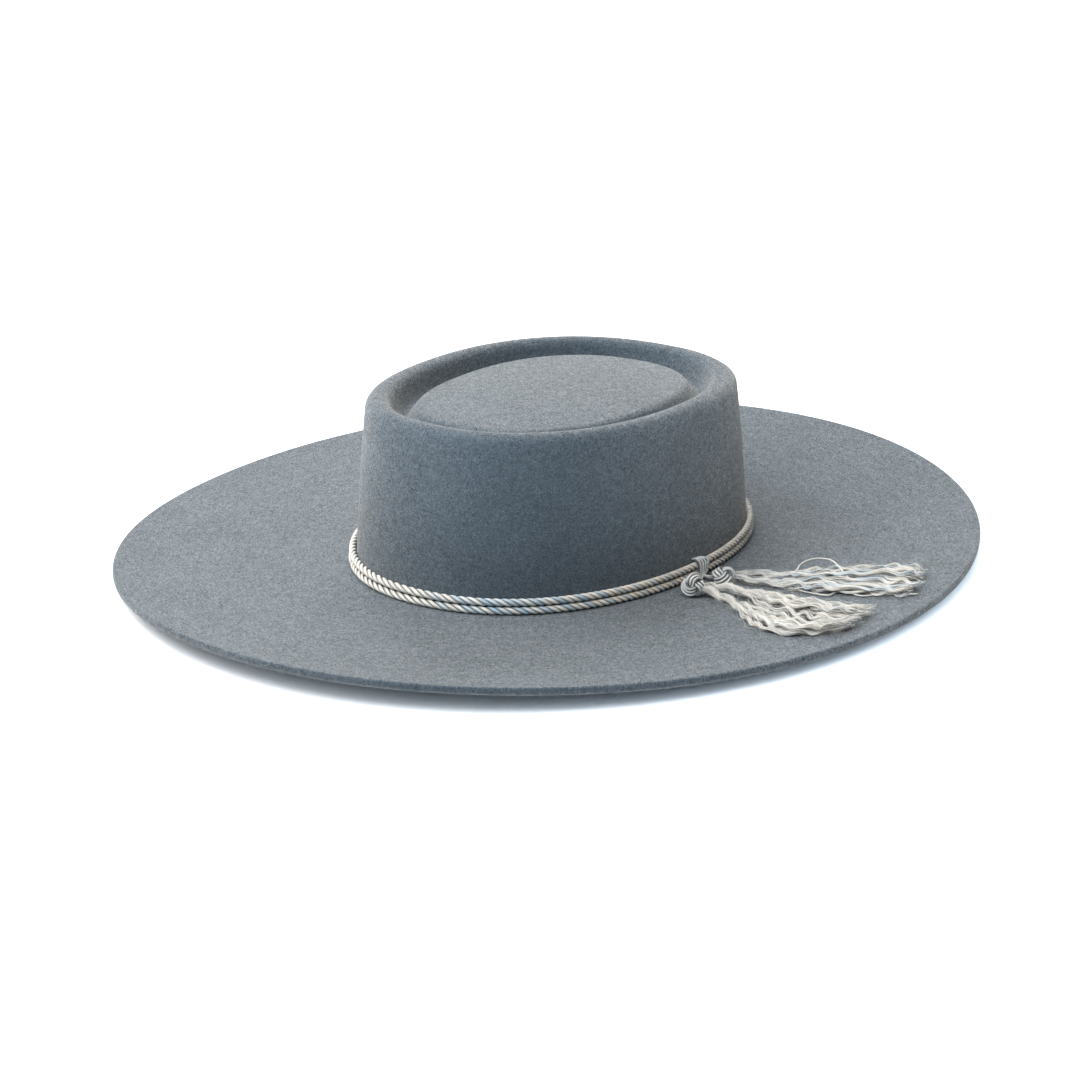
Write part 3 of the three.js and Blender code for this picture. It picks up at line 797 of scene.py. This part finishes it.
binding = make_piece("cord_binding_and_legs", [(wrap_rings, lengths_along(wrap_paths), wrap_values)],
                     knot_material)
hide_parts("band_knot")
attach(binding, "root")
print("the binding's bundles are", lengths_along(wrap_paths)[:, -1].round(1), "mm long")

# %% [markdown]
# ## The stopper knots
# An overhand knot drawn tight is a trefoil: the cord goes round twice while it weaves up and down three
# times. The trefoil's formula is short, and a ribbon of three yarn bundles side by side along it gives
# the ridged loops that the photograph shows.

# %% Stopper knots
KNOT_BUNDLES, KNOT_ROWS, KNOT_SIDES = 3, 240, 14
WEAVE, FRONTWARDS = 0.75, 0.5
BUNDLE_WIDE, BUNDLE_HIGH, BUNDLE_PITCH = 1.42, 1.8, 1.6
KNOT_BLUE = (0.55, 0.05, 0.4)


def trefoil(radius, parts):
    """A trefoil: a circle walked round twice whose distance from the middle is 2 plus the cosine of one
    and a half turns, and whose height is the sine of that."""
    walk = 2 * 2 * np.pi * np.arange(parts) / parts
    weave = 1.5 * walk
    distance = radius * (2 + np.cos(weave)) / 2
    height = radius * np.sin(weave) * WEAVE
    return np.stack([distance * np.cos(walk), distance * np.sin(walk), height], axis=-1)


def stopper_knot(name, node):
    """Bundles side by side along a trefoil, on a ribbon that faces outwards from the knot's middle and
    somewhat to the front, turned to face its direction and set on the brim."""
    knot = STOPPERS[name]
    facing = unit(np.array(knot["facing"]))
    sideways = unit(np.cross([0.0, 1.0, 0.0], facing))
    basis = np.stack([sideways, np.cross(facing, sideways), facing])
    cos_spin, sin_spin = math.cos(math.radians(knot["spin"])), math.sin(math.radians(knot["spin"]))
    turned = np.array([[cos_spin, sin_spin, 0], [-sin_spin, cos_spin, 0], [0, 0, 1]])
    local = trefoil((STOPPER - BUNDLE_HIGH) / 3, KNOT_ROWS) @ turned
    outwards = unit(unit(local) + FRONTWARDS * UP)
    beside, _ = frame_along(local, outwards, closed=True)
    offsets = (np.arange(KNOT_BUNDLES) - (KNOT_BUNDLES - 1) / 2)[:, None, None] * BUNDLE_PITCH
    paths = (local + offsets * beside) @ basis + stopper_middle(name)
    shape = paths.shape[:2]
    rings = tube(paths, np.full(shape, BUNDLE_WIDE), np.full(shape, BUNDLE_HIGH), KNOT_SIDES,
                 outwards @ basis, closed=True)
    values = {
        # crest: painted shade at the sides where the bundles touch
        "crest": side_shade(shape, KNOT_SIDES),
        "blue": np.broadcast_to(np.array(KNOT_BLUE)[:, None], shape),
        "beige": np.full(shape, 0.08),
        "skein": np.broadcast_to(0.2 + np.arange(KNOT_BUNDLES)[:, None] / 5, shape),
    }
    piece = make_piece(f"{name}_overhand_knot", [(rings, lengths_along(paths), values)], knot_material,
                       closed=True)
    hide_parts(node)
    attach(piece, "root")
    print(f"{name} knot takes {lengths_along(local)[-1]:.0f} mm of cord")


stopper_knot("front", "front_stopper_knot")
stopper_knot("rear", "rear_stopper_knot")

# %% [markdown]
# ## The tassels
# Beyond its stopper knot each end is untwisted into its yarns. Years in the twist leave them crimped, so
# they lie in waves of about the old lay, side by side in two bundles that open into one flat brush. They
# cling together in locks, each of ten plies with finer filaments and fuzz about it, and the ends fray.
# Hair particles could do it, but every lock here follows a route taken from the photograph. A route's
# places are an angle in degrees, a share of the brim's width and a rise in millimetres. The other values
# are lengths in millimetres, shares of the route, and how strongly the two crimps and the dyes show.

# %% Routes of the tassels
TASSELS = {
    "front": {
        "bundles": {
            "far": ((-14.3, 0.18, 4.6), (-12.3, 0.212, 5.0), (-11.2, 0.255, 4.8), (-10.4, 0.33, 4.3),
                    (-10.3, 0.43, 3.7), (-10.6, 0.545, 3.6), (-10.2, 0.65, 3.6), (-9.6, 0.74, 3.6),
                    (-8.8, 0.82, 3.3), (-7.2, 0.885, 2.8)),
            "near": ((-14.7, 0.185, 4.4), (-13.7, 0.22, 3.4), (-13.5, 0.266, 2.6), (-14.3, 0.345, 2.2),
                     (-15.6, 0.44, 2.1), (-16.6, 0.545, 2.1), (-17.3, 0.65, 2.2), (-17.2, 0.75, 2.4),
                     (-14.8, 0.85, 2.6), (-10.6, 0.915, 2.3)),
        },
        "locks": 9, "lock": 0.95, "twist": 34.0, "fray": 0.8,
        "crimp": (0.35, 0.62), "early": 0.8, "waves": ((11.5, 11.5), (14.5, 11.5)),
        "neck": 0.85, "lay": 21.0, "opens": (0.15, 0.5),
        "half_width": 6.6, "pile": 2.6, "spread": ((0, 0.8, 1.0), (1.0, 1.0, 0.75)), "mix": 0.33,
        "stretches": 2.3, "blue": 0.16, "beige": 0.08, "seed": 11,
    },
    "rear": {
        "bundles": {
            "far": ((-4.0, 0.187, 4.2), (-1.4, 0.208, 3.9), (0.6, 0.253, 3.5), (1.5, 0.325, 3.1),
                    (3.0, 0.40, 2.9), (5.2, 0.485, 3.0), (7.0, 0.59, 3.0), (8.4, 0.69, 2.9),
                    (9.4, 0.79, 2.6), (9.2, 0.885, 2.1)),
            "near": ((-4.0, 0.186, 3.6), (-3.1, 0.232, 3.0), (-2.0, 0.29, 2.2), (-1.4, 0.355, 1.9),
                     (-0.2, 0.43, 1.9), (0.9, 0.53, 2.1), (2.0, 0.63, 2.2), (2.9, 0.73, 2.1),
                     (3.7, 0.83, 1.9), (4.7, 0.92, 1.6)),
        },
        "locks": 9, "lock": 0.76, "twist": 60.0, "fray": 1.6,
        "crimp": (0.9, 0.45), "early": 0.6, "waves": ((12.5, 13.0), (13.5, 13.0)),
        "neck": 0.65, "lay": 34.0, "opens": (0.1, 0.45),
        "half_width": 5.8, "pile": 2.6, "spread": ((0, 0.7, 1.0), (0.9, 1.0, 1.05)), "mix": 0.35,
        "stretches": 3.1, "blue": 0.34, "beige": 0.1, "seed": 23,
    },
}
YARN_ROWS, FILAMENT_ROWS, ROUTE_STEPS = 72, 60, 200
PLY, FILAMENT, FUZZ = 0.52, 0.18, 0.09
KINDS_OF_YARN = (
    # width, sides, rows, how many in each lock, how far from the lock's middle
    (PLY, 5, YARN_ROWS, 10, 1.0),
    (FILAMENT, 3, FILAMENT_ROWS, 6, 1.5),
    (FUZZ, 3, FILAMENT_ROWS, 3, 3.2),
)

print("yarns in each lock:", sum(row[3] for row in KINDS_OF_YARN))

# %% [markdown]
# ## Middle lines of the yarns
# A yarn's place is worked out in three layers. Its route is the bundle's, its lock has its own place and
# crimp about the route, and the yarn turns slowly about its lock's middle. Whole arrays hold all the
# yarns of a bundle, and one seed for the locks lets plies, filaments and fuzz follow the same locks.

# %% Middle lines of the yarns
def over_brim(route, part, aside, raised, lowest=0.0):
    """Points over the brim: the route's angle, share of width and rise at a part of its length, moved
    sideways by a length that is turned into an angle, and up, but never under the lowest rise."""
    place = curve_at(route, part)
    reach = CROWN_FLARE + place[..., 1] * BRIM_WIDTH
    angle = np.radians(place[..., 0])
    rise = place[..., 2] + raised
    rise = lowest + np.logaddexp(0.0, (rise - lowest) * 3.0) / 3.0
    return felt_point(reach, FELT + rise, angle + aside / radius_at(reach, angle))


def lock_waves(kind, bundle, part, length, lock, locks):
    """Where each lock's middle runs, aside and up. Near the knot the locks circle the bundle's middle.
    Further out each has its own place in a flat pile. A crimp is a sine sideways and another upwards,
    nearly in step near the knot and more and more each lock's own as the pile opens."""
    opened = eased(share(part, *kind["opens"]))
    circle = 2 * np.pi * (lock / kind["locks"] + part * length / kind["lay"])
    across = (2 * (lock + 0.5) / kind["locks"] - 1 + locks.normal(0, 0.1, kind["locks"])[lock])
    across = across * np.interp(part, *kind["spread"])
    layer = np.where(lock % 2, 0.5, -0.25) + locks.normal(0, 0.15, kind["locks"])[lock]
    wander = np.sin(2 * np.pi * (part * locks.uniform(0.6, 1.3, kind["locks"])[lock]
                                 + locks.uniform(0, 1, kind["locks"])[lock]))
    first, last = kind["waves"][bundle]
    waves = part * length / first * (1 - part * (1 - first / last) / 2)
    own = locks.normal(0, kind["mix"], kind["locks"])[lock]
    later = locks.normal(0, kind["mix"], kind["locks"])[lock]
    uneven = 0.13 * np.sin(2 * np.pi * (2.6 * part + locks.uniform(0, 1, kind["locks"])[lock]))
    wave = 2 * np.pi * (waves + uneven + own * (0.15 + opened) + later * 1.5 * share(part, 0.3, 1.0))
    swell = 1 + 0.35 * np.sin(2 * np.pi * (1.7 * part + locks.uniform(0, 1, kind["locks"])[lock]))
    late = locks.uniform(0.7, 1.2, kind["locks"])[lock]
    strength = swell * (kind["early"] + (late - kind["early"]) * opened)
    crimp_aside, crimp_rise = kind["crimp"]
    aside = (kind["neck"] * np.cos(circle) * (1 - opened) + (across * kind["half_width"] + wander) * opened
             + crimp_aside * strength * np.sin(wave))
    raised = (kind["neck"] * np.sin(circle) * (1 - opened) + layer * kind["pile"] * opened
              + crimp_rise * strength * np.sin(wave + 0.6))
    return aside, raised


def yarn_paths(kind, route, bundle, plies, rows, thickness, looseness, random):
    """Middle lines of one bundle's yarns: each keeps a place near its lock's middle, turns slowly about
    it, and leaves it a little where the end frays."""
    steps = np.linspace(0, 1, ROUTE_STEPS)
    run = lengths_along(over_brim(np.array(route), steps, 0.0, 0.0))
    length = run[-1]
    locks = np.random.default_rng(kind["seed"] + bundle)
    lock = np.arange(kind["locks"] * plies)[:, None] // plies
    ends = 1 - locks.uniform(0.0, 0.09, kind["locks"])[lock] - random.uniform(0.0, 0.05, lock.shape)
    part = np.linspace(0, 1, rows) * ends
    aside, raised = lock_waves(kind, bundle, part, length, lock, locks)
    turn = 2 * np.pi * (part * length / kind["twist"] + random.uniform(0, 1, lock.shape))
    fray = 0.55 + 0.45 * share(part, 0.0, 0.4) + kind["fray"] * share(part, 0.75, 1.0) ** 2
    apart = kind["lock"] * looseness * np.sqrt(random.uniform(0.1, 1.0, lock.shape)) * fray
    apart = apart * (0.8 + 0.2 * np.sin(2 * np.pi * (3.1 * part + random.uniform(0, 1, lock.shape))))
    place = np.interp(part, run / length, steps)
    paths = over_brim(np.array(route), place, aside + 1.5 * apart * np.cos(turn),
                      raised + apart * np.sin(turn), CLEARANCE + thickness / 2)
    return paths, part, lock


# %% [markdown]
# ## Both tassels
# The rear tassel has two strays that the photograph shows plainly: a yarn that bows out on the far side
# and joins the brush again, and one that snakes along its near side. Their places are given as a route's.

# %% Both tassels
STRAY_SIDES = 6
BOW = ((0.9, 0.34, 3.2), (2.5, 0.385, 4.6), (5.65, 0.375, 5.7), (8.0, 0.387, 6.1), (9.3, 0.418, 6.2),
       (9.25, 0.469, 6.0), (7.3, 0.522, 5.4), (5.8, 0.56, 4.4), (4.5, 0.6, 3.2))
SNAKE = ((-0.6, 0.30, 0.6), (-1.2, 0.417, 0.4), (-1.8, 0.47, 0.4), (-2.1, 0.536, 0.4), (-1.9, 0.595, 0.4),
         (-0.4, 0.606, 0.5), (0.7, 0.623, 0.5), (0.2, 0.673, 0.4), (0.0, 0.724, 0.4), (1.5, 0.779, 0.4),
         (2.3, 0.853, 0.4), (3.3, 0.915, 0.4))


def tassel(name, node, strays):
    """Two bundles of locks, each of yarns with finer filaments between and beyond them, and strays with
    routes of their own."""
    kind = TASSELS[name]
    random = np.random.default_rng(kind["seed"])
    parts = []
    for bundle, route in enumerate(kind["bundles"].values()):
        for thick, sides, rows, plies, loose in KINDS_OF_YARN:
            paths, part, lock = yarn_paths(kind, route, bundle, plies, rows, thick, loose, random)
            width = thick * random.uniform(0.8, 1.2, lock.shape) * (1 - 0.4 * share(part, 0.9, 1.0))
            rings = tube(paths, width, width * 0.9, sides)
            shape = paths.shape[:2]
            stretch = np.sin(2 * np.pi * (kind["stretches"] * part + 0.37 * lock + 0.5 * bundle))
            values = {
                "crest": np.ones(shape),
                "blue": np.clip(kind["blue"] * (1 + stretch) + random.normal(0, 0.12, lock.shape), 0, 1),
                "beige": np.clip(kind["beige"] * (1 - stretch) + random.normal(0, 0.08, lock.shape), 0, 1),
                "skein": np.broadcast_to(random.uniform(0, 1, lock.shape), shape),
            }
            parts.append((rings, lengths_along(paths), values))
    for route, thick in strays:
        part = np.linspace(0, 1, YARN_ROWS)[None]
        path = over_brim(np.array(route), part, 0.0, 0.0, CLEARANCE + thick / 2)
        rings = tube(path, np.full(part.shape, thick), np.full(part.shape, thick), STRAY_SIDES)
        values = {"blue": np.full(part.shape, 0.15), "beige": np.full(part.shape, 0.05),
                  "skein": np.full(part.shape, 0.33), "crest": np.ones(part.shape)}
        parts.append((rings, lengths_along(path), values))
    for bundle, route in kind["bundles"].items():
        route_mm = lengths_along(over_brim(np.array(route), np.linspace(0, 1, ROUTE_STEPS), 0.0, 0.0))[-1]
        print(f"{name} tassel, {bundle} bundle: {route_mm:.0f} mm long, {kind['locks']} locks")
    piece = make_piece(f"{name}_tassel_yarns", parts, tassel_material)
    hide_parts(node)
    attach(piece, "root")


tassel("front", "front_tassel", [])
tassel("rear", "rear_tassel", [(BOW, 0.7), (SNAKE, 0.7)])

# %% [markdown]
# ## The table
# The floor is a plain white table, large enough to fill the view. A matt acrylic with a very faint glow
# keeps the shadows pale, as the photograph shows them.

# %% Floor
FLOOR = 12000.0
UNDER_BRIM = 0.2
TABLE_GLOW = 0.03


def floor_material():
    """Matt white acrylic with a very faint unevenness and a little light from below, as on a light table,
    which keeps the shadows pale."""
    material, tree = new_material("matt white acrylic light table")
    place = add(tree, "TexCoord").outputs["Object"]
    mottle = add(tree, "TexNoise", {"Vector": place, "Scale": 3.0, "Detail": 2.0})
    colour = add(tree, "Mix", {0: mottle, 6: linear("#f6f7f8"), 7: linear("#fbfbfb")}, data_type="RGBA")
    shader = add(tree, "BsdfPrincipled", {
        "Base Color": colour.outputs[2], "Roughness": 0.9, "Specular IOR Level": 0.1,
        "Emission Color": linear("#c4d6e6"), "Emission Strength": TABLE_GLOW})
    add(tree, "OutputMaterial", {"Surface": shader})
    return material


def make_floor():
    """A flat square, 12 m each way, a fifth of a millimetre under the brim's flat land."""
    corners = np.array([(-1, -1, 0), (1, -1, 0), (1, 1, 0), (-1, 1, 0)]) * FLOOR / 2 - UNDER_BRIM * UP
    mesh = bpy.data.meshes.new("studio_floor")
    mesh.from_pydata((corners * MM).tolist(), [], [(0, 1, 2, 3)])
    mesh.materials.append(floor_material())
    floor = bpy.data.objects.new("studio_floor", mesh)
    bpy.context.scene.collection.objects.link(floor)
    floor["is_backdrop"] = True
    print(f"the table is {floor.dimensions.x:.0f} m wide")


make_floor()

# %% [markdown]
# ## The camera
# The camera stands at the photograph's angle: 33 degrees round from the hat's front, 19 degrees above the
# table and 1.4 m away, with a long lens. These values come from a fit to the outlines of brim, crown and
# cord in the photograph, and the two small shifts and the roll put the hat where it lies in the picture.

# %% Camera
VIEW_AZIMUTH, VIEW_ELEVATION, VIEW_ROLL = 33.232, 19.203, 0.292
VIEW_DISTANCE, VIEW_RIGHT, VIEW_UP = 1400.0, -6.025, -0.536
FOCAL_PIXELS, IMAGE_PIXELS, SENSOR = 2944.35, 1080, 36.0

azimuth, elevation, roll = (math.radians(v) for v in (VIEW_AZIMUTH, VIEW_ELEVATION, VIEW_ROLL))
back = Vector((math.sin(azimuth) * math.cos(elevation), -math.cos(azimuth) * math.cos(elevation),
               math.sin(elevation)))
right = Vector((math.cos(azimuth), math.sin(azimuth), 0.0))
above = back.cross(right)
place = (VIEW_DISTANCE * back + VIEW_RIGHT * right + VIEW_UP * above + Vector((0, 0, FELT))) * MM
image_x = math.cos(roll) * right - math.sin(roll) * above
image_y = math.sin(roll) * right + math.cos(roll) * above
camera_data = bpy.data.cameras.new("camera")
camera_data.sensor_width = SENSOR
camera_data.lens = FOCAL_PIXELS / IMAGE_PIXELS * SENSOR
camera_data.clip_end = 50.0
camera = bpy.data.objects.new("camera", camera_data)
camera.matrix_world = Matrix.Translation(place) @ Matrix((image_x, image_y, back)).transposed().to_4x4()
bpy.context.scene.collection.objects.link(camera)
bpy.context.scene.camera = camera
print(f"camera {place.length:.2f} m away, lens {camera_data.lens:.1f} mm")

# %% [markdown]
# ## The light
# Five softboxes stand above, behind and at the left, so the crown's front stays darker than the brim, as
# in the photograph. Two more throw a cool light on the table alone, as if flagged off the hat, because the
# photograph's shadow is pale and narrow. Blender's light linking does what the flags would.

# %% Light
LIGHTS = (
    # name, degrees to the camera's right, elevation, distance and size in metres, watts, colour
    ("overhead_softbox", 0.0, 60.0, 2.2, 1.6, 37.0, "#ffffff"),
    ("back_softbox", 180.0, 30.0, 2.2, 1.6, 51.0, "#ffffff"),
    ("left_back_softbox", -135.0, 42.0, 2.2, 1.4, 22.0, "#ffffff"),
    ("left_softbox", -90.0, 50.0, 2.2, 1.4, 32.0, "#ffffff"),
    ("left_front_softbox", -50.0, 35.0, 2.2, 1.4, 26.0, "#ffffff"),
)
TABLE_LIGHTS = (
    ("table_front_softbox", 0.0, 38.0, 2.2, 1.6, 25.0, "#dcebf8"),
    ("table_right_softbox", 65.0, 35.0, 2.2, 1.6, 50.0, "#dcebf8"),
)


def make_light(name, degrees, height, distance, size, watts, colour):
    """A square area light at an angle round from the camera and an elevation, turned to the hat."""
    turn, rise = math.radians(VIEW_AZIMUTH + degrees), math.radians(height)
    direction = Vector((math.sin(turn) * math.cos(rise), -math.cos(turn) * math.cos(rise), math.sin(rise)))
    data = bpy.data.lights.new(name, "AREA")
    data.size = size
    data.energy = watts
    data.color = linear(colour)[:3]
    light = bpy.data.objects.new(name, data)
    light.location = direction * distance
    light.rotation_euler = direction.to_track_quat("Z", "Y").to_euler()
    bpy.context.scene.collection.objects.link(light)
    return light


for row in LIGHTS:
    make_light(*row)
table_only = bpy.data.collections.new("table_only")
table_only.objects.link(bpy.data.objects["studio_floor"])
for row in TABLE_LIGHTS:
    make_light(*row).light_linking.receiver_collection = table_only

world = bpy.data.worlds.new("studio")
bpy.context.scene.world = world
world.use_nodes = True
fill = world.node_tree.nodes["Background"]
fill.inputs["Color"].default_value = linear("#dfeaf5")
fill.inputs["Strength"].default_value = 0.02
bpy.context.scene.view_settings.view_transform = "Standard"
print(f"{len(LIGHTS)} softboxes on the hat and {len(TABLE_LIGHTS)} on the table alone")

# %% [markdown]
# ## Sizes and the end
# The box of the solids and the box of the finished surfaces are printed side by side. They should agree
# within a few millimetres, because each surface keeps the form of the solid that it replaces.

# %% Print the sizes and finish
visual_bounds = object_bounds()
boxes = {"cad": [list(corner) for corner in cad_bounds],
         "visual": [list(corner) for corner in visual_bounds]}
for name, box in boxes.items():
    print(name, [[round(v * 1000, 1) for v in corner] for corner in box])
